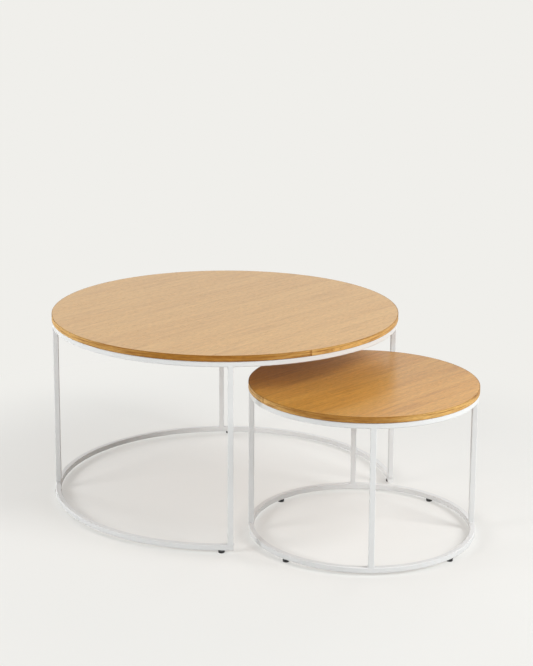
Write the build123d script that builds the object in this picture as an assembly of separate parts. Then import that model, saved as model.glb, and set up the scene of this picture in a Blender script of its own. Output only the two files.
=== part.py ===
"""Two round nesting tables: oak-veneered tops on white square-tube frames.

Millimetres, +Z up. The origin is on the floor, at the centre of the set's bounding box.
+X is the direction in which the small table is drawn out from between the large table's
front legs, and +Y is to the left of somebody who looks that way.
"""
from build123d import *
import os
from math import cos, degrees, radians, sin, sqrt

# ---------------------------------------------------------------- the two tables
large_diameter = 800.0          # top of the large table
large_height = 435.0            # floor to the upper face of its top
small_diameter = 500.0
small_height = 341.0

# how the small table stands at rest
top_overlap = 246.0             # how far the small top reaches in under the large one
side_shift = 9.0                # its axis stands this far to the left of the centre line
small_turn = -1.8               # degrees that it is turned from the large table's legs

# ---------------------------------------------------------------- the tops
core_thickness = 12.0
veneer_thickness = 0.6
edge_band_thickness = 1.0
glue_line = 0.3                 # between the board's rim and the edge band
band_top_round = 0.8            # eased upper arris of the edge band
band_bottom_round = 0.4
band_seam = 0.15                # butt gap where the two ends of the band meet
large_seam_azimuth = -19.5      # degrees from +X
small_seam_azimuth = 252.0

# ---------------------------------------------------------------- the frames
tube_size = 12.0
tube_wall = 1.2
tube_corner = 1.5               # outer corner radius of the tube
tube_inner_corner = 0.3
ring_inset = 1.0                # the rings stand in from the rim of the top by this much
leg_azimuth = 45.0              # degrees of the front legs either side of +X
end_cap_thickness = 1.2         # plate that closes each end of the open ring

# ---------------------------------------------------------------- what holds a top down
tab_length = 24.0               # radial
tab_width = 20.0
tab_thickness = 2.5
tab_round = 5.0                 # corner radius at the free end
tab_weld_gap = 0.05             # between the tab's outer corners and the ring
screw_inset = 10.0              # screw axis from the tab's free end
screw_diameter = 4.0
screw_depth = 8.0               # in the core
screw_tip = 2.0                 # length of the pointed end
screw_tip_radius = 0.2
screw_head_diameter = 8.0
screw_head_height = 2.4
screw_recess_span = 4.4         # the cross for the driver, over its arms
screw_recess_width = 0.9
screw_recess_depth = 1.4
screw_hole_clearance = 0.4      # radial, in the tab

# ---------------------------------------------------------------- glides
glide_diameter = 14.0
glide_height = 5.2
glide_round = 1.2               # lower edge of the head
glide_top_round = 0.5
glide_from_leg = 19.0           # large table: along the ring, from the leg's centre line
stud_diameter = 5.0
stud_in_head = 3.6
stud_length = 12.4
stud_chamfer = 0.6
nut_flange_diameter = 9.6
nut_flange_thickness = 0.8
nut_body_diameter = 7.0
nut_bulge_diameter = 9.0        # the set collar that grips the tube's wall from inside
nut_bulge_length = 2.6
nut_bulge_round = 0.8
nut_length = 9.4                # above the flange
fit_clearance = 0.05            # radial, at threads, moulded-in and drilled seats

# ---------------------------------------------------------------- worked out from the above
large_radius = large_diameter / 2
small_radius = small_diameter / 2
pull_out = large_radius + small_radius - top_overlap
large_centre = (-(pull_out + small_radius - large_radius) / 2, 0.0)
small_centre = (large_centre[0] + pull_out, side_shift)

top_thickness = core_thickness + 2 * veneer_thickness
ring_bottom = glide_height + nut_flange_thickness
leg_bottom = ring_bottom + tube_size
glide_offset = degrees(glide_from_leg / (large_radius - ring_inset - tube_size / 2))

LEGS = {
    "front_left": leg_azimuth,
    "rear_left": 180 - leg_azimuth,
    "rear_right": 180 + leg_azimuth,
    "front_right": 360 - leg_azimuth,
}
QUARTERS = {"front": 0.0, "left": 90.0, "rear": 180.0, "right": 270.0}
SIDE_GLIDES = {
    "front_left": leg_azimuth + glide_offset,
    "rear_left": 180 - leg_azimuth - glide_offset,
    "rear_right": 180 + leg_azimuth + glide_offset,
    "front_right": 360 - leg_azimuth - glide_offset,
}

UP = (Align.CENTER, Align.CENTER, Align.MIN)


def disc(radius, bottom, height):
    return Pos(0, 0, bottom) * Cylinder(radius, height, align=UP)


def tube_section(hollow=True):
    """Square tube with rounded corners, centred on the sketch's origin."""
    section = RectangleRounded(tube_size, tube_size, tube_corner)
    if hollow:
        inside = tube_size - 2 * tube_wall
        section -= RectangleRounded(inside, inside, tube_inner_corner)
    return section


def ring(radius, bottom, hollow=True):
    """Square tube bent to a full circle, its outer face at the radius."""
    place = Plane.XZ * Pos(radius - tube_size / 2, bottom + tube_size / 2)
    return revolve(place * tube_section(hollow), Axis.Z, 360)


def mouth(radius, bottom, side):
    """Wedge that opens a ring towards +X, its faces parallel to the front legs and this far
    from their centre lines."""
    apex = side / sin(radians(leg_azimuth))
    reach = 2 * radius
    along = Vector(cos(radians(leg_azimuth)), sin(radians(leg_azimuth))) * reach
    outline = Polygon((apex, 0), (apex + along.X, -along.Y), (apex + along.X, along.Y), align=None)
    return Pos(0, 0, bottom + tube_size / 2) * extrude(outline, tube_size, both=True)


def leg(radius, azimuth, top):
    section = Pos(radius - tube_size / 2, 0, leg_bottom) * tube_section()
    return Rot(0, 0, azimuth) * extrude(section, top - leg_bottom)


def edge_band(radius, bottom, seam_azimuth):
    band = disc(radius, bottom, top_thickness)
    band = fillet(band.edges().sort_by(Axis.Z)[-1], band_top_round)
    band = fillet(band.edges().sort_by(Axis.Z)[0], band_bottom_round)
    band -= disc(radius - edge_band_thickness, bottom, top_thickness)
    seam = Pos(radius, 0, bottom + top_thickness / 2) * Box(
        4 * edge_band_thickness, band_seam, 2 * top_thickness)
    return band - Rot(0, 0, seam_azimuth) * seam


def fixing_tab(ring_inner_radius, top):
    """Flat plate welded to the inner face of the upper ring at +X, with its screw hole."""
    outer = sqrt(ring_inner_radius ** 2 - (tab_width / 2) ** 2) - tab_weld_gap
    plate = Pos(outer - tab_length / 2, 0, top - tab_thickness) * extrude(
        Rectangle(tab_length, tab_width), tab_thickness)
    free_corners = plate.edges().filter_by(Axis.Z).sort_by(Axis.X)[:2]
    plate = fillet(free_corners, tab_round)
    screw_x = outer - tab_length + screw_inset
    hole = Pos(screw_x, 0, top - tab_thickness) * Cylinder(
        screw_diameter / 2 + screw_hole_clearance, tab_thickness, align=UP)
    return plate - hole, screw_x


def wood_screw(seat):
    """Pan-head screw, axis on Z: the head hangs below the seat and the point goes up."""
    shank_length = tab_thickness + veneer_thickness + screw_depth - screw_tip
    shank = Pos(0, 0, seat) * Cylinder(screw_diameter / 2, shank_length, align=UP)
    tip = Pos(0, 0, seat + shank_length) * Cone(
        screw_diameter / 2, screw_tip_radius, screw_tip, align=UP)
    head = Pos(0, 0, seat - screw_head_height) * Cylinder(
        screw_head_diameter / 2, screw_head_height, align=UP)
    head = fillet(head.edges().sort_by(Axis.Z)[0], screw_head_height / 2)
    recess = Box(screw_recess_span, screw_recess_width, screw_recess_depth, align=UP)
    recess += Rot(0, 0, 90) * recess
    return head - Pos(0, 0, seat - screw_head_height) * recess + shank + tip


def rivet_nut():
    """Threaded insert set in the lower ring's bottom wall, axis on Z."""
    wall_top = ring_bottom + tube_wall
    flange = disc(nut_flange_diameter / 2, glide_height, nut_flange_thickness)
    body = disc(nut_body_diameter / 2, ring_bottom, nut_length)
    bulge = disc(nut_bulge_diameter / 2, wall_top, nut_bulge_length)
    bulge = fillet(bulge.edges().sort_by(Axis.Z)[-1], nut_bulge_round)
    thread = disc(stud_diameter / 2 + fit_clearance, 0, 2 * leg_bottom)
    return flange + body + bulge - thread


def glide_head():
    head = disc(glide_diameter / 2, 0, glide_height)
    head = fillet(head.edges().sort_by(Axis.Z)[0], glide_round)
    head = fillet(head.edges().sort_by(Axis.Z)[-1], glide_top_round)
    return head - disc(stud_diameter / 2 + fit_clearance, glide_height - stud_in_head, stud_in_head)


def glide_stud():
    stud = disc(stud_diameter / 2, glide_height - stud_in_head, stud_length)
    return chamfer(stud.edges().sort_by(Axis.Z)[-1], stud_chamfer)


def table(name, diameter, height, centre, turn, seam_azimuth, glides, opened):
    """Every node of one table, built about its own axis and then put in its place."""
    radius = diameter / 2
    ring_radius = radius - ring_inset
    ring_inner = ring_radius - tube_size
    glide_radius = ring_radius - tube_size / 2
    top_bottom = height - top_thickness
    upper_ring_bottom = top_bottom - tube_size
    core_bottom = top_bottom + veneer_thickness

    board_radius = radius - edge_band_thickness - glue_line

    nodes = {}
    core = disc(board_radius, core_bottom, core_thickness)
    back = disc(board_radius, top_bottom, veneer_thickness)
    face = disc(board_radius, height - veneer_thickness, veneer_thickness)

    tab, screw_x = fixing_tab(ring_inner, top_bottom)
    tabs, screws, pilots = [], [], []
    for azimuth in QUARTERS.values():
        turned = Rot(0, 0, azimuth)
        tabs.append(turned * tab)
        screws.append(turned * Pos(screw_x, 0, 0) * wood_screw(top_bottom - tab_thickness))
        pilots.append(turned * Pos(screw_x, 0, top_bottom) * Cylinder(
            screw_diameter / 2 + fit_clearance, veneer_thickness + screw_depth, align=UP))
    for pilot in pilots:
        core -= pilot
        back -= pilot
    nodes["top_core"] = core
    nodes["top_back_veneer"] = back
    nodes["top_face_veneer"] = face
    nodes["top_edge_band"] = edge_band(radius, top_bottom, seam_azimuth)
    nodes["fixing_tabs"] = Compound(children=tabs)
    nodes["top_screws"] = Compound(children=screws)

    nodes["upper_ring"] = ring(ring_radius, upper_ring_bottom)
    lower_ring = ring(ring_radius, ring_bottom)
    if opened:
        flush = tube_size / 2
        lower_ring -= mouth(ring_radius, ring_bottom, flush - end_cap_thickness)
        ends = ring(ring_radius, ring_bottom, hollow=False)
        ends &= mouth(ring_radius, ring_bottom, flush - end_cap_thickness)
        ends -= mouth(ring_radius, ring_bottom, flush)
        nodes["ring_end_caps"] = ends
    nuts = []
    for glide, azimuth in glides.items():
        place = Rot(0, 0, azimuth) * Pos(glide_radius, 0, 0)
        nut_hole = Pos(0, 0, ring_bottom) * Cylinder(
            nut_body_diameter / 2 + fit_clearance, tube_size / 2, align=UP)
        lower_ring -= place * nut_hole
        nuts.append(place * rivet_nut())
        nodes["glide_head_" + glide] = place * glide_head()
        nodes["glide_stud_" + glide] = place * glide_stud()
    nodes["lower_ring"] = lower_ring
    nodes["glide_nuts"] = Compound(children=nuts)

    for position, azimuth in LEGS.items():
        nodes["leg_" + position] = leg(ring_radius, azimuth, upper_ring_bottom)

    stand = Pos(centre[0], centre[1], 0) * Rot(0, 0, turn)
    return {name + "_" + node: stand * shape for node, shape in nodes.items()}


os.makedirs("parts", exist_ok=True)
nodes = table("large", large_diameter, large_height, large_centre, 0.0,
              large_seam_azimuth, SIDE_GLIDES, opened=True)
nodes |= table("small", small_diameter, small_height, small_centre, small_turn,
               small_seam_azimuth, QUARTERS, opened=False)
for node, shape in nodes.items():
    export_step(shape, "parts/" + node + ".step")
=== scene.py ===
"""Dresses the two nesting tables: lacquered oak tops on white powder-coated frames.

Metres, +Z up, in the CAD's own frame. Every CAD solid stays and gets its finish here, and the
small weld beads at the feet and heads of the legs are added.
"""
from math import cos, pi, radians, sin

import bmesh
import bpy
from mathutils import Matrix, Vector


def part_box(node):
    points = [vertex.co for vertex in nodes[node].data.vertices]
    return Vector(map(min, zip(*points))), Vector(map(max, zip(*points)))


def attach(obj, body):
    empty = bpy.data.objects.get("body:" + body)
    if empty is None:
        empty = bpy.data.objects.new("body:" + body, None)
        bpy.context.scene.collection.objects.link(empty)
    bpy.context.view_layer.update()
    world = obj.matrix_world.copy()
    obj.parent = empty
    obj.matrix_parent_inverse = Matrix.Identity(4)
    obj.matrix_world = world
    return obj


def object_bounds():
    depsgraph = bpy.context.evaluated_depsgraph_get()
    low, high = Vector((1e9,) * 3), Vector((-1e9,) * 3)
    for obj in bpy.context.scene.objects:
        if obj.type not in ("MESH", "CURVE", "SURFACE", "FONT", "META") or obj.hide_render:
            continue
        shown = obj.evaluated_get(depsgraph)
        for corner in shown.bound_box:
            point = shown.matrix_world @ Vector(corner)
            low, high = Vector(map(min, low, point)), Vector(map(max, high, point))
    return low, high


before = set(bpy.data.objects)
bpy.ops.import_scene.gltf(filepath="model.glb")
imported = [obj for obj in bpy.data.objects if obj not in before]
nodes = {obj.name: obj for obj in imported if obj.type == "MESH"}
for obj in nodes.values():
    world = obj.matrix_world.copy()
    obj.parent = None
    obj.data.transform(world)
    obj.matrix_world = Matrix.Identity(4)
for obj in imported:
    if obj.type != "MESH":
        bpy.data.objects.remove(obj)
cad_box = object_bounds()

# ---------------------------------------------------------------- the two tables
TABLES = ("large", "small")
LEGS = ("front_left", "rear_left", "rear_right", "front_right")
grain_turn = {"large": 0.0, "small": -1.8}          # degrees of the grain from the Y axis
seam_azimuth = {"large": -19.5, "small": 252.0}     # degrees, where the edge band's ends meet

# ---------------------------------------------------------------- oak's colour
# The pale and the deep tone of each sort of face. "large" and "small" are the two upper faces.
oak_tones = {
    "large": ((0.678, 0.400, 0.140), (0.638, 0.362, 0.122)),
    "small": ((0.655, 0.334, 0.066), (0.592, 0.278, 0.047)),
    "edge": ((0.605, 0.362, 0.118), (0.32, 0.135, 0.018)),
    "back": ((0.37, 0.165, 0.037), (0.32, 0.135, 0.028)),
}
oak_shadow = (0.62, 0.50, 0.45)         # of grain lines and pores, as shares of the deep tone
oak_ray = (0.70, 0.44, 0.16)            # medullary rays, and fresh wood at a cut end
oak_seam_stain_and_arris_shade = (0.20, 0.075, 0.012)        # stain at one side of the band's seam, and painted shade along its two arrises
lacquer_ior = 1.6

# ---------------------------------------------------------------- oak's figure
streak_width = {"face": 0.014, "back": 0.016, "edge": 0.006}    # metres
figure_length = {"face": 1.0, "back": 1.0, "edge": 0.55}        # metres that count as one length
tone_reach = {"face": 0.12, "back": 0.12, "edge": 0.30}         # more makes the tones more even
# How strong the dark lines are, and how far the flecks darken.
grain_depth = {"large": 0.27, "small": 0.43, "back": 0.40, "edge": 0.65}
fleck_depth = {"large": 0.12, "small": 0.13, "back": 0.15, "edge": 0.15}
# Features on a streak's width across the grain, features on a length along it, and detail.
LAYERS = {
    "broad": (0.3, 0.6, 1.0),
    "streaks": (1.0, 1.5, 3.0),
    "lines": (1.6, 6.0, 2.0),
    "fibre": (9.0, 14.0, 2.0),
}
# Features a metre across and along the grain, for what is as large in every sort.
SPECKS = {
    "flecks": (380, 70),
    "clumps": (330, 90),
    "pores": (1900, 85),
    "rays": (55, 420),
}
# The noise values between which each of them sets in.
SETS_IN = {
    "fibre": (0.25, 0.75),
    "flecks": (0.25, 0.75),
    "lines": (0.48, 0.68),
    "porous": (0.42, 0.60),     # the streaks again, for how far the pores open in them
    "clumps": (0.35, 0.65),
    "pores": (0.60, 0.72),
    "rays": (0.66, 0.74),
}
broad_share = 0.45              # of the tone, and the streaks have the rest
fibre_shade = (0.93, 1.06)      # from the darkest fibre to the lightest
fleck_light = 0.7               # flecks lighten by this share of what they darken
streak_pores = (0.2, 0.8)       # how far the pores open in pale and in deep streaks
clump_pores = (0.1, 1.7)        # and how many times that beside the clumps and in them
ray_share = 0.10

# ---------------------------------------------------------------- the edge bands
band_specular = 0.20            # oiled, duller than the lacquered face
band_painted_shade_middle = {"large": -58.0, "small": -66.0}        # degrees, middle of the darkest stretch, on the less lit front: painted shade
band_wave = 120.0               # degrees of rim from one dark stretch to the next
band_tone_and_shade_swing = {"large": (0.24, 0.0), "small": (0.24, -0.10)}      # swing to deep and back, middle: partly the strip's own tone, partly painted light and shade
band_drift = 0.6                # radians by which that wave wanders
band_drift_pitch = (60, 5, 1)   # features a metre up the strip, along it and through it
band_arris = (0.0020, 0.0004)   # metres from an arris where its painted shade sets in, and is full
band_arris_shade_share = 0.35
band_joint = (0.003, 0.008)     # metres from the seam where the stained end is darkest, and ends
band_joint_share = 0.5
band_fresh = (0.003, 0.020)     # the same for the pale end across the seam
band_fresh_share = 0.4

# ---------------------------------------------------------------- other finishes
# Two tones each, between which their clouds swing.
board_tones = ((0.36, 0.24, 0.13), (0.25, 0.155, 0.08))
powder_tones = ((0.69, 0.70, 0.70), (0.66, 0.668, 0.665))
zinc_tones = ((0.72, 0.73, 0.75), (0.50, 0.50, 0.50))
plastic_tones = ((0.014, 0.014, 0.015), (0.034, 0.034, 0.035))
board_fibre = (0.48, 0.35, 0.21)
board_fibre_sets_in = (0.35, 0.7)
board_fibre_share = 0.5

# Roughness from the smoothest spots to the roughest.
ROUGHNESS = {
    "oak_face": (0.28, 0.5),
    "oak_back": (0.62, 0.8),
    "oak_edge": (0.5, 0.7),
    "board_core": (0.85, 0.95),
    "white_powder_coat": (0.36, 0.46),
    "zinc_steel": (0.24, 0.45),
    "black_plastic": (0.42, 0.62),
}
# Depth of the bumps in metres, and how strongly they show.
RELIEF = {
    "oak_face": (0.00006, 0.6),
    "oak_back": (0.00010, 0.8),
    "oak_edge": (0.00005, 0.6),
    "board_core": (0.0001, 1.0),
    "white_powder_coat": (0.00004, 0.5),
    "zinc_steel": (0.00003, 0.6),
    "black_plastic": (0.00004, 0.6),
}
WHOLE = (0.0, 1.0)              # the whole range of a mask
CLOUD = (0.3, 0.7)              # where most of a noise's values lie

# ---------------------------------------------------------------- weld beads
bead_leg = 0.0020               # how far the fillet reaches up each wall
bead_sink = 0.0003              # how deep it is let into the tubes
bead_ripple = 0.00022
bead_ripple_pitch = 0.0016
bead_length = 1.6               # of every bead, in half widths of the tube
bead_taper = 5                  # each end tapers over one part in so many of the length
bead_tip = 0.35                 # size of the tapered end
bead_waist = 0.62               # size of the fillet's section at 45 degrees
bead_stations = 33
bead_profile_steps = 6
ground_reach = 0.0006           # how far a ground bead covers the leg's flush face
ground_depth = 0.0019           # and the groove under it, down the ring and inwards
ground_crown = 0.00018
ground_sink = bead_sink / 3     # how deep its rim is let into the face

# ---------------------------------------------------------------- camera
camera_place = Vector((2.2657, -2.5228, 1.3102))
camera_heading = 131.93         # degrees from +X
camera_dip = 11.33
camera_roll = 0.285
camera_lens = 83.4              # mm
camera_sensor = 36.0            # mm, along the picture's long side
camera_shift = -0.15
camera_clip = 60.0

# ---------------------------------------------------------------- light
backdrop_colour = (0.871, 0.863, 0.831)
ambient_colour = (1.0, 0.99, 0.97)
ambient_strength = 0.03
SOFTBOXES = {
    # azimuth and elevation in degrees, distance, width, height, watts
    "left": (250.0, 21.0, 3.0, 1.0, 0.8, 45.0),
    "right": (12.0, 33.0, 3.0, 1.0, 1.6, 78.0),
    "front": (308.0, 15.0, 3.0, 1.2, 0.8, 15.0),
    "back_left": (180.0, 20.0, 3.0, 1.5, 1.5, 49.0),
    "back_right": (90.0, 20.0, 3.0, 1.5, 1.5, 31.0),
    "overhead": (0.0, 90.0, 3.2, 2.6, 2.6, 7.0),
}
floor_colour = (0.775, 0.775, 0.755)
floor_roughness = 0.9
floor_specular = 0.2
floor_radius = 9.0
floor_corners = 96
floor_fade = (0.70, 1.25)       # distances between which the floor turns into the backdrop
floor_lift = 0.45               # how far it has turned into the backdrop under the tables


# ---------------------------------------------------------------- node materials
class Finish:
    """A material built from nodes round one Principled shader."""

    def __init__(self, name, **constants):
        self.material = bpy.data.materials.new(name)
        self.material.use_nodes = True
        self.tree = self.material.node_tree
        self.tree.nodes.clear()
        self.shader = self.add("BsdfPrincipled", **constants)
        self.add("OutputMaterial", Surface=self.shader.outputs["BSDF"])

    def add(self, kind, settings=(), **inputs):
        """A shader node. Underscores in an input's name stand for spaces."""
        made = self.tree.nodes.new("ShaderNode" + kind)
        for name, value in dict(settings).items():
            setattr(made, name, value)
        for name, value in inputs.items():
            self.feed(made.inputs[name.replace("_", " ")], value)
        return made

    def feed(self, socket, value):
        """Another node's output is linked to the socket, and anything else is set on it. A
        colour is given as three numbers."""
        if isinstance(value, bpy.types.NodeSocket):
            self.tree.links.new(value, socket)
        elif socket.type == "RGBA":
            socket.default_value = (*value, 1.0)
        else:
            socket.default_value = value

    def sum(self, operation, first, second=0.0):
        """A Math node."""
        made = self.add("Math", {"operation": operation})
        self.feed(made.inputs[0], first)
        self.feed(made.inputs[1], second)
        return made.outputs[0]

    def place(self, centre=(0, 0, 0), turn=0.0):
        """Position on the object, seen from a centre and an X axis turned by so many degrees."""
        seen = self.add("TexCoord")
        local = self.add("Mapping", {"vector_type": "TEXTURE"}, Vector=seen.outputs["Object"])
        self.feed(local.inputs["Location"], centre)
        self.feed(local.inputs["Rotation"], (0, 0, radians(turn)))
        return local.outputs["Vector"]

    def noise(self, place, per_metre, detail=2.0, roughness=0.5):
        """Noise with so many features a metre along each axis."""
        scaled = self.add("VectorMath", {"operation": "MULTIPLY"})
        self.feed(scaled.inputs[0], place)
        self.feed(scaled.inputs[1], per_metre)
        made = self.add("TexNoise", Vector=scaled.outputs["Vector"], Scale=1.0, Detail=detail)
        self.feed(made.inputs["Roughness"], roughness)
        return made.outputs["Fac"]

    def grain(self, place, across, along, detail=1.0):
        """Noise drawn out along the place's Y axis."""
        return self.noise(place, (across, along, across), detail)

    def spread(self, value, low, high, to_low=0.0, to_high=1.0):
        """Smoothly carries low..high over to to_low..to_high, and holds it there beyond."""
        made = self.add("MapRange", {"interpolation_type": "SMOOTHSTEP"}, Value=value)
        ends = {"From Min": low, "From Max": high, "To Min": to_low, "To Max": to_high}
        for name, number in ends.items():
            self.feed(made.inputs[name], number)
        return made.outputs["Result"]

    def mix(self, share, first, second, blend="MIX"):
        """Blends two colours, or a colour with a grey."""
        made = self.add("Mix", {"data_type": "RGBA", "blend_type": blend})
        for index, value in ((0, share), (6, first), (7, second)):
            self.feed(made.inputs[index], value)
        return made.outputs[2]

    def surface(self, kind, colour, wear, worn, height):
        """Gives the shader its colour, the kind's roughness by the wear between worn's ends, and
        the kind's bumps by a height from 0 to 1. Gives the finished material."""
        rough = self.spread(wear, *worn, *ROUGHNESS[kind])
        depth, strength = RELIEF[kind]
        bump = self.add("Bump", Height=height, Distance=depth, Strength=strength)
        self.feed(self.shader.inputs["Base Color"], colour)
        self.feed(self.shader.inputs["Roughness"], rough)
        self.feed(self.shader.inputs["Normal"], bump.outputs["Normal"])
        return self.material


def oak_figure(finish, place, sort, side, lean=0.0):
    """Oak's colour, its grain along the place's Y axis: broad and narrow streaks of tone, thin
    dark lines, fine fibre, short flecks, and open pores in clumps. The sort picks its tones, the
    side picks its scale, and lean moves the tones towards deep. Gives the colour, and where the
    pores are."""
    pale, deep = oak_tones[sort]
    per_metre = 1 / streak_width[side]
    length = figure_length[side]
    noises = {}
    for name, (across, along, detail) in LAYERS.items():
        noises[name] = finish.grain(place, per_metre * across, along / length, detail)
    for name in ("flecks", "clumps", "pores"):
        noises[name] = finish.grain(place, *SPECKS[name])

    broad = finish.sum("MULTIPLY", noises["broad"], broad_share)
    narrow = finish.sum("MULTIPLY", noises["streaks"], 1 - broad_share)
    tone = finish.sum("ADD", finish.sum("ADD", broad, narrow), lean)
    reach = tone_reach[side]
    colour = finish.mix(finish.spread(tone, 0.5 - reach, 0.5 + reach), pale, deep)

    depth = fleck_depth[sort]
    fibre = finish.spread(noises["fibre"], *SETS_IN["fibre"], *fibre_shade)
    lightest = 1.0 + fleck_light * depth
    flecks = finish.spread(noises["flecks"], *SETS_IN["flecks"], 1.0 - depth, lightest)
    colour = finish.mix(1.0, colour, finish.sum("MULTIPLY", fibre, flecks), "MULTIPLY")

    shadow = [tint * share for tint, share in zip(deep, oak_shadow)]
    lines = finish.spread(noises["lines"], *SETS_IN["lines"], 0.0, grain_depth[sort])
    colour = finish.mix(lines, colour, shadow)

    porous = finish.spread(noises["streaks"], *SETS_IN["porous"], *streak_pores)
    clumps = finish.spread(noises["clumps"], *SETS_IN["clumps"], *clump_pores)
    pores = finish.spread(noises["pores"], *SETS_IN["pores"])
    pores = finish.sum("MULTIPLY", pores, finish.sum("MULTIPLY", porous, clumps))
    return finish.mix(pores, colour, shadow), pores


def oak_surface(finish, kind, colour, pores):
    """Oak whose pores are duller than the rest and sunk into it."""
    return finish.surface(kind, colour, pores, WHOLE, finish.sum("SUBTRACT", 1.0, pores))


def oak_face(table):
    """Face veneer under satin lacquer, its grain straight across the table."""
    finish = Finish(f"{table}_oak_face", IOR=lacquer_ior)
    low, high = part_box(f"{table}_top_face_veneer")
    place = finish.place((low + high) / 2, grain_turn[table])
    colour, pores = oak_figure(finish, place, table, "face")
    rays = finish.grain(place, *SPECKS["rays"])
    colour = finish.mix(finish.spread(rays, *SETS_IN["rays"], 0.0, ray_share), colour, oak_ray)
    return oak_surface(finish, "oak_face", colour, pores)


def oak_back(table):
    """Balancing veneer underneath: the same oak, sealed but dull."""
    finish = Finish(f"{table}_oak_back")
    low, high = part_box(f"{table}_top_back_veneer")
    place = finish.place((low + high) / 2, grain_turn[table])
    colour, pores = oak_figure(finish, place, "back", "back")
    return oak_surface(finish, "oak_back", colour, pores)


def oak_edge(table):
    """Edge band: a long strip bent round the rim, its grain along the rim. It is darker along its
    two arrises, in painted shade, and at one side of its seam, where stain and lacquer gather. Its
    tone swings along the rim, partly its own and partly painted shade and light, darkest on the
    less lit front."""
    finish = Finish(f"{table}_oak_edge", Specular_IOR_Level=band_specular)
    low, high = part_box(f"{table}_top_edge_band")
    radius = (high.x - low.x) / 2
    half = (high.z - low.z) / 2
    place = finish.place((low + high) / 2, seam_azimuth[table] - 180)
    parts = finish.add("SeparateXYZ", Vector=place)
    turned = finish.sum("ARCTAN2", parts.outputs["Y"], parts.outputs["X"])
    along = finish.sum("MULTIPLY", turned, radius)
    strip = finish.add("CombineXYZ", X=parts.outputs["Z"], Y=along).outputs["Vector"]

    drift = finish.noise(strip, band_drift_pitch, detail=2.0)
    drift = finish.spread(drift, 0.2, 0.8, -band_drift, band_drift)
    # The tone swings along the rim: partly the strip's own tone, partly painted shade on the less
    # lit front and painted light further round.
    from_shade_middle = finish.sum("ADD", turned, radians(seam_azimuth[table] - 180 - band_painted_shade_middle[table]))
    wave = finish.sum("MULTIPLY", from_shade_middle, 360 / band_wave)
    swing, middle = band_tone_and_shade_swing[table]
    lean = finish.sum("MULTIPLY", finish.sum("COSINE", finish.sum("ADD", wave, drift)), swing)
    lean = finish.sum("ADD", lean, middle)
    colour, pores = oak_figure(finish, strip, "edge", "edge", lean)

    # Painted shade along the band's two arrises, its top and bottom edges.
    shade_from, shade_full = band_arris
    from_middle = finish.sum("ABSOLUTE", parts.outputs["Z"])
    arris = finish.spread(from_middle, half - shade_from, half - shade_full, 0.0, band_arris_shade_share)
    to_seam = finish.sum("SUBTRACT", pi * radius, along)
    stained = finish.spread(to_seam, *band_joint, band_joint_share, 0.0)
    from_seam = finish.sum("ADD", along, pi * radius)
    fresh = finish.spread(from_seam, *band_fresh, band_fresh_share, 0.0)
    colour = finish.mix(fresh, colour, oak_ray)
    colour = finish.mix(finish.sum("MAXIMUM", arris, stained), colour, oak_seam_stain_and_arris_shade)
    return oak_surface(finish, "oak_edge", colour, pores)


def board_core(table):
    """Fibreboard inside the top: matted brown fibres."""
    finish = Finish(f"{table}_board_core")
    place = finish.place()
    clumps = finish.noise(place, (220, 220, 700), detail=4.0, roughness=0.7)
    fibres = finish.noise(place, (1800, 1800, 4200), detail=2.0)
    colour = finish.mix(clumps, *board_tones)
    share = finish.spread(fibres, *board_fibre_sets_in, 0.0, board_fibre_share)
    colour = finish.mix(share, colour, board_fibre)
    return finish.surface("board_core", colour, clumps, CLOUD, fibres)


def white_powder_coat():
    """White powder coat on steel: satin, with the fine orange peel of a baked film."""
    finish = Finish("white_powder_coat")
    place = finish.place()
    peel = finish.noise(place, (620, 620, 620), detail=1.0)
    cloud = finish.noise(place, (28, 28, 28), detail=2.0)
    colour = finish.mix(cloud, *powder_tones)
    return finish.surface("white_powder_coat", colour, cloud, CLOUD, peel)


def zinc_steel():
    """Zinc-plated steel of the screws, rivet nuts and studs."""
    finish = Finish("zinc_steel", Metallic=1.0)
    place = finish.place()
    bloom = finish.noise(place, (900, 900, 900), detail=3.0)
    turning = finish.noise(place, (60, 60, 3800), detail=1.0)
    colour = finish.mix(bloom, *zinc_tones)
    return finish.surface("zinc_steel", colour, bloom, CLOUD, turning)


def black_plastic():
    """Moulded black nylon of the glides, with a fine sparked texture."""
    finish = Finish("black_plastic")
    place = finish.place()
    spark = finish.noise(place, (4200, 4200, 4200), detail=2.0)
    scuff = finish.noise(place, (260, 260, 260), detail=3.0)
    colour = finish.mix(scuff, *plastic_tones)
    return finish.surface("black_plastic", colour, scuff, CLOUD, spark)


def dress(shared, own):
    """Gives every CAD node its finish, by the material slot that it was packed with."""
    for name, obj in nodes.items():
        slot = obj.material_slots[0].material.name.split(".")[0]
        table = name.split("_")[0]
        obj.material_slots[0].material = shared.get(slot) or own[slot, table]


# ---------------------------------------------------------------- weld beads
def skin(mesh, rows):
    """A closed skin over rows of points, each row one section of a bead."""
    rows = [[mesh.verts.new(point) for point in row] for row in rows]
    count = len(rows[0])
    for here, there in zip(rows, rows[1:]):
        for k in range(count):
            after = (k + 1) % count
            mesh.faces.new((here[k], there[k], there[after], here[after]))
    mesh.faces.new(rows[0])
    mesh.faces.new(list(reversed(rows[-1])))


def bead_rows(foot, outward, along, up, length):
    """One fillet of weld in the corner between a leg's side and a ring: it starts at foot's
    middle, leaves the leg outward, and runs so long along the corner."""
    rows = []
    for station in range(bead_stations):
        t = station / (bead_stations - 1)
        taper = min(1.0, bead_taper * t, bead_taper * (1 - t))
        ripple = bead_ripple * cos(2 * pi * (t - 0.5) * length / bead_ripple_pitch)
        size = (bead_leg + ripple) * (bead_tip + (1 - bead_tip) * sin(taper * pi / 2))
        middle = foot + along * ((t - 0.5) * length)
        row = [middle - outward * bead_sink - up * bead_sink]
        for step in range(bead_profile_steps + 1):
            turn = step / bead_profile_steps * pi / 2
            swell = size * (bead_waist + (1 - bead_waist) * abs(cos(2 * turn)))
            row.append(middle + outward * (swell * cos(turn)) + up * (swell * sin(turn)))
        row[1] -= up * bead_sink
        row[-1] -= outward * bead_sink
        rows.append(row)
    return rows


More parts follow.
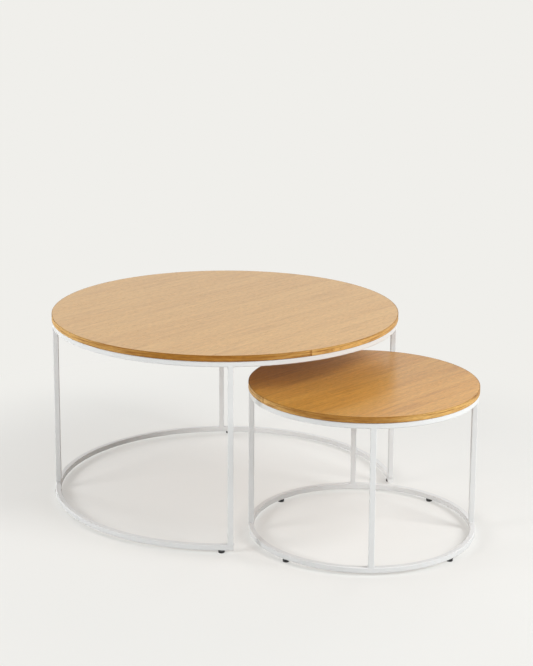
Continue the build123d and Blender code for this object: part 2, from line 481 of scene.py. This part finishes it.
def ground_rows(edge, outward, along, up, length):
    """The weld across a leg's flush face, ground level with it: it fills the groove that the
    ring's rounded corner leaves under the leg's edge."""
    rows = []
    for station in range(bead_stations):
        t = station / (bead_stations - 1)
        crown = ground_crown * sin(pi * t) ** 0.5
        middle = edge + along * ((t - 0.5) * length)
        row = [middle - outward * ground_depth + up * bead_sink]
        for step in range(bead_profile_steps + 1):
            turn = step / bead_profile_steps
            reach = ground_reach * (1 - turn) - ground_depth * turn
            row.append(middle + up * reach + outward * (crown * sin(pi * turn) - ground_sink))
        rows.append(row)
    return rows


def weld(table, leg, end):
    """The four beads that join one end of a leg to its ring."""
    low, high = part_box(f"{table}_leg_{leg}")
    ring_low, ring_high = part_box(f"{table}_upper_ring")
    half = (ring_high.z - ring_low.z) / 2
    length = bead_length * half
    middle = (low + high) / 2
    out = (middle - (ring_low + ring_high) / 2).xy.to_3d().normalized()
    side = Vector((-out.y, out.x, 0.0))
    level, up = (low.z, Vector((0, 0, 1))) if end == "foot" else (high.z, Vector((0, 0, -1)))
    middle.z = level
    mesh = bmesh.new()
    for sign in (-1, 1):
        skin(mesh, bead_rows(middle + side * (sign * half), side * sign, out, up, length))
        skin(mesh, ground_rows(middle + out * (sign * half), out * sign, side, up, length))
    bmesh.ops.recalc_face_normals(mesh, faces=mesh.faces)
    data = bpy.data.meshes.new(f"{table}_weld_{leg}_{end}")
    mesh.to_mesh(data)
    mesh.free()
    for face in data.polygons:
        face.use_smooth = True
    piece = bpy.data.objects.new(data.name, data)
    bpy.context.scene.collection.objects.link(piece)
    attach(piece, f"{table}_table")
    return piece


# ---------------------------------------------------------------- floor, light and camera
def backdrop_share(finish):
    """1 for rays that come from the camera, a mirror or glass, which see the pale backdrop."""
    path = finish.add("LightPath")
    seen = finish.sum("MAXIMUM", path.outputs["Is Camera Ray"], path.outputs["Is Glossy Ray"])
    return finish.sum("MAXIMUM", seen, path.outputs["Is Transmission Ray"])


def make_floor():
    """A matt pale floor that turns into the backdrop far from the tables."""
    finish = Finish("pale_floor", Base_Color=floor_colour, Roughness=floor_roughness)
    finish.feed(finish.shader.inputs["Specular IOR Level"], floor_specular)
    distance = finish.add("VectorMath", {"operation": "LENGTH"}, Vector=finish.place())
    far = finish.spread(distance.outputs["Value"], *floor_fade, floor_lift, 1.0)
    share = finish.sum("MULTIPLY", far, backdrop_share(finish))
    glow = finish.add("Emission", Color=backdrop_colour)
    blend = finish.add("MixShader", Fac=share)
    finish.feed(blend.inputs[1], finish.shader.outputs["BSDF"])
    finish.feed(blend.inputs[2], glow.outputs["Emission"])
    output = finish.tree.nodes["Material Output"]
    finish.feed(output.inputs["Surface"], blend.outputs["Shader"])
    bpy.ops.mesh.primitive_circle_add(vertices=floor_corners, radius=floor_radius, fill_type="NGON")
    floor = bpy.context.object
    floor.name = "floor"
    floor.data.materials.append(finish.material)


def make_world():
    """Faint even light from all round, while the camera and mirrors see the backdrop."""
    world = bpy.data.worlds.new("studio")
    world.use_nodes = True
    tree = world.node_tree
    tree.nodes.clear()
    light = tree.nodes.new("ShaderNodeBackground")
    light.inputs["Color"].default_value = (*ambient_colour, 1.0)
    light.inputs["Strength"].default_value = ambient_strength
    sight = tree.nodes.new("ShaderNodeBackground")
    sight.inputs["Color"].default_value = (*backdrop_colour, 1.0)
    path = tree.nodes.new("ShaderNodeLightPath")
    seen = path.outputs["Is Camera Ray"]
    for ray in ("Is Glossy Ray", "Is Transmission Ray"):
        either = tree.nodes.new("ShaderNodeMath")
        either.operation = "MAXIMUM"
        tree.links.new(seen, either.inputs[0])
        tree.links.new(path.outputs[ray], either.inputs[1])
        seen = either.outputs[0]
    blend = tree.nodes.new("ShaderNodeMixShader")
    tree.links.new(seen, blend.inputs[0])
    tree.links.new(light.outputs[0], blend.inputs[1])
    tree.links.new(sight.outputs[0], blend.inputs[2])
    output = tree.nodes.new("ShaderNodeOutputWorld")
    tree.links.new(blend.outputs[0], output.inputs["Surface"])
    bpy.context.scene.world = world


def softbox(name, azimuth, elevation, distance, width, height, watts):
    """A rectangular studio lamp that faces the middle of the tables. Glossy rays pass it by, or
    the lacquer would mirror it as a white patch."""
    middle = (cad_box[0] + cad_box[1]) / 2
    a, e = radians(azimuth), radians(elevation)
    toward = Vector((cos(a) * cos(e), sin(a) * cos(e), sin(e)))
    lamp = bpy.data.lights.new(name, "AREA")
    lamp.shape = "RECTANGLE"
    lamp.size = width
    lamp.size_y = height
    lamp.energy = watts
    obj = bpy.data.objects.new(name, lamp)
    obj.location = middle + toward * distance
    obj.rotation_mode = "QUATERNION"
    obj.rotation_quaternion = toward.to_track_quat("Z", "Y")
    obj.visible_camera = False
    obj.visible_glossy = False
    bpy.context.scene.collection.objects.link(obj)


def make_camera():
    """A long lens that looks at the tables from the front right and a little from above."""
    yaw, dip, roll = radians(camera_heading), radians(camera_dip), radians(camera_roll)
    forward = Vector((cos(dip) * cos(yaw), cos(dip) * sin(yaw), -sin(dip)))
    level = Vector((sin(yaw), -cos(yaw), 0.0))
    upright = level.cross(forward)
    right = level * cos(roll) + upright * sin(roll)
    up = right.cross(forward)
    data = bpy.data.cameras.new("camera")
    data.sensor_width = camera_sensor
    data.lens = camera_lens
    data.shift_y = camera_shift
    data.clip_end = camera_clip
    camera = bpy.data.objects.new("camera", data)
    turn = Matrix((right, up, -forward)).transposed()
    camera.matrix_world = Matrix.Translation(camera_place) @ turn.to_4x4()
    bpy.context.scene.collection.objects.link(camera)
    bpy.context.scene.camera = camera


powder = white_powder_coat()
SHARED = {
    "white_powder_coat": powder,
    "zinc_steel": zinc_steel(),
    "black_plastic": black_plastic(),
}
OWN = {}
for table in TABLES:
    OWN["oak_face", table] = oak_face(table)
    OWN["oak_back", table] = oak_back(table)
    OWN["oak_edge", table] = oak_edge(table)
    OWN["board_core", table] = board_core(table)
dress(SHARED, OWN)
for table in TABLES:
    for leg in LEGS:
        for end in ("foot", "head"):
            weld(table, leg, end).data.materials.append(powder)

make_floor()
make_world()
for name, facts in SOFTBOXES.items():
    softbox(f"softbox_{name}", *facts)
make_camera()
bpy.context.scene.view_settings.view_transform = "Standard"
